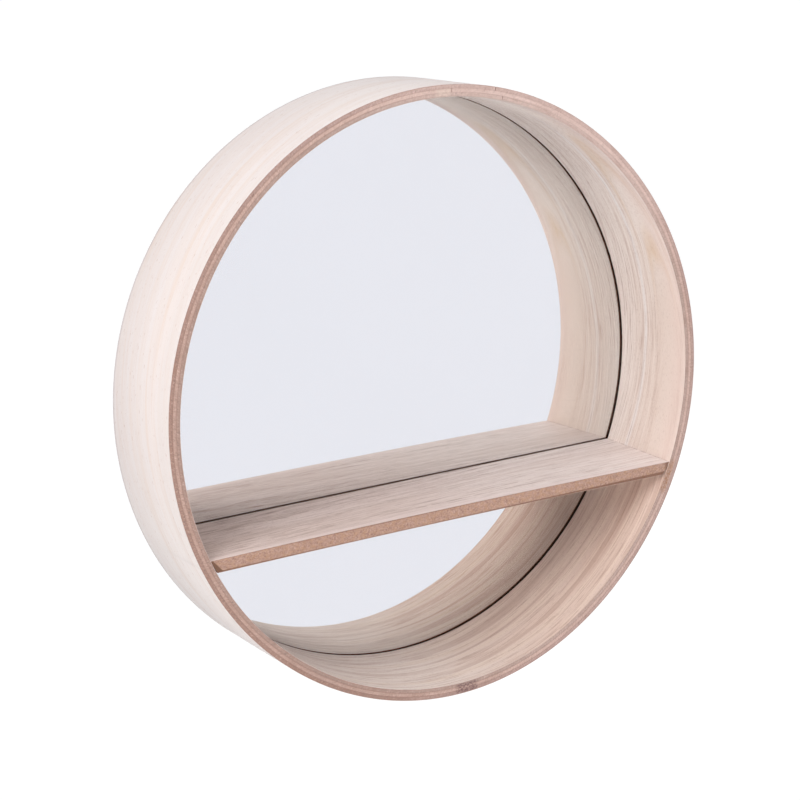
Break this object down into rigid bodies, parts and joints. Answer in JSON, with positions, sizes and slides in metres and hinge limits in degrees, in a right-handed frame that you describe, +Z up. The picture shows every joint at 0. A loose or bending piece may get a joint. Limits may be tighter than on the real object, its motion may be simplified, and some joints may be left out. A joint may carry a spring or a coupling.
{
  "type": "wall mirror with shelf",
  "caption": "Round wall mirror set at the back of a deep bent plywood hoop, with a narrow board shelf across its lower part.",
  "frame": {"origin": "on the hoop's axis, in the plane of its rear rim, which bears on the wall", "axes": "+Z up as it hangs, +Y from the mirror towards the wall, +X to the right of a person who looks at the mirror"},
  "size_m": [0.5, 0.1, 0.5],
  "materials": {
    "face_veneer": "pale sanded veneer, unfinished look",
    "outer_ply": "cut ply edge, sanded",
    "core_ply": "cut ply edge, sanded",
    "inner_ply": "cut ply edge, sanded",
    "glass": "clear polished float glass",
    "silver": "silvered",
    "back_board": "smooth brown fibreboard",
    "shelf_board": "raw cut edge of fibreboard",
    "shelf_veneer": "pale veneer with straight grain",
    "steel": "plain steel",
    "hanger_metal": "zinc plated"
  },
  "bodies": {
    "mirror": {"outer_veneer": "face_veneer", "outer_ply": "outer_ply", "core_ply": "core_ply", "inner_ply": "inner_ply", "inner_veneer": "face_veneer", "mirror_glass": "glass", "silver_coat": "silver", "back_board": "back_board", "glazing_points": "steel", "shelf_board": "shelf_board", "shelf_top_veneer": "shelf_veneer", "shelf_bottom_veneer": "shelf_veneer", "shelf_brads": "steel", "hanger_strap_left": "hanger_metal", "hanger_strap_right": "hanger_metal", "hanger_rivets": "hanger_metal"},
    "ring_left": {"hanger_ring_left": "hanger_metal"},
    "ring_right": {"hanger_ring_right": "hanger_metal"}
  },
  "joints": [
    {"name": "ring_left_swing", "type": "hinge", "parent": "mirror", "child": "ring_left", "pos_m": [-0.12, -0.00252, 0.11], "axis": [1, 0, 0], "range_deg": [0, 180]},
    {"name": "ring_right_swing", "type": "hinge", "parent": "mirror", "child": "ring_right", "pos_m": [0.12, -0.00252, 0.11], "axis": [1, 0, 0], "range_deg": [0, 180]}
  ]
}
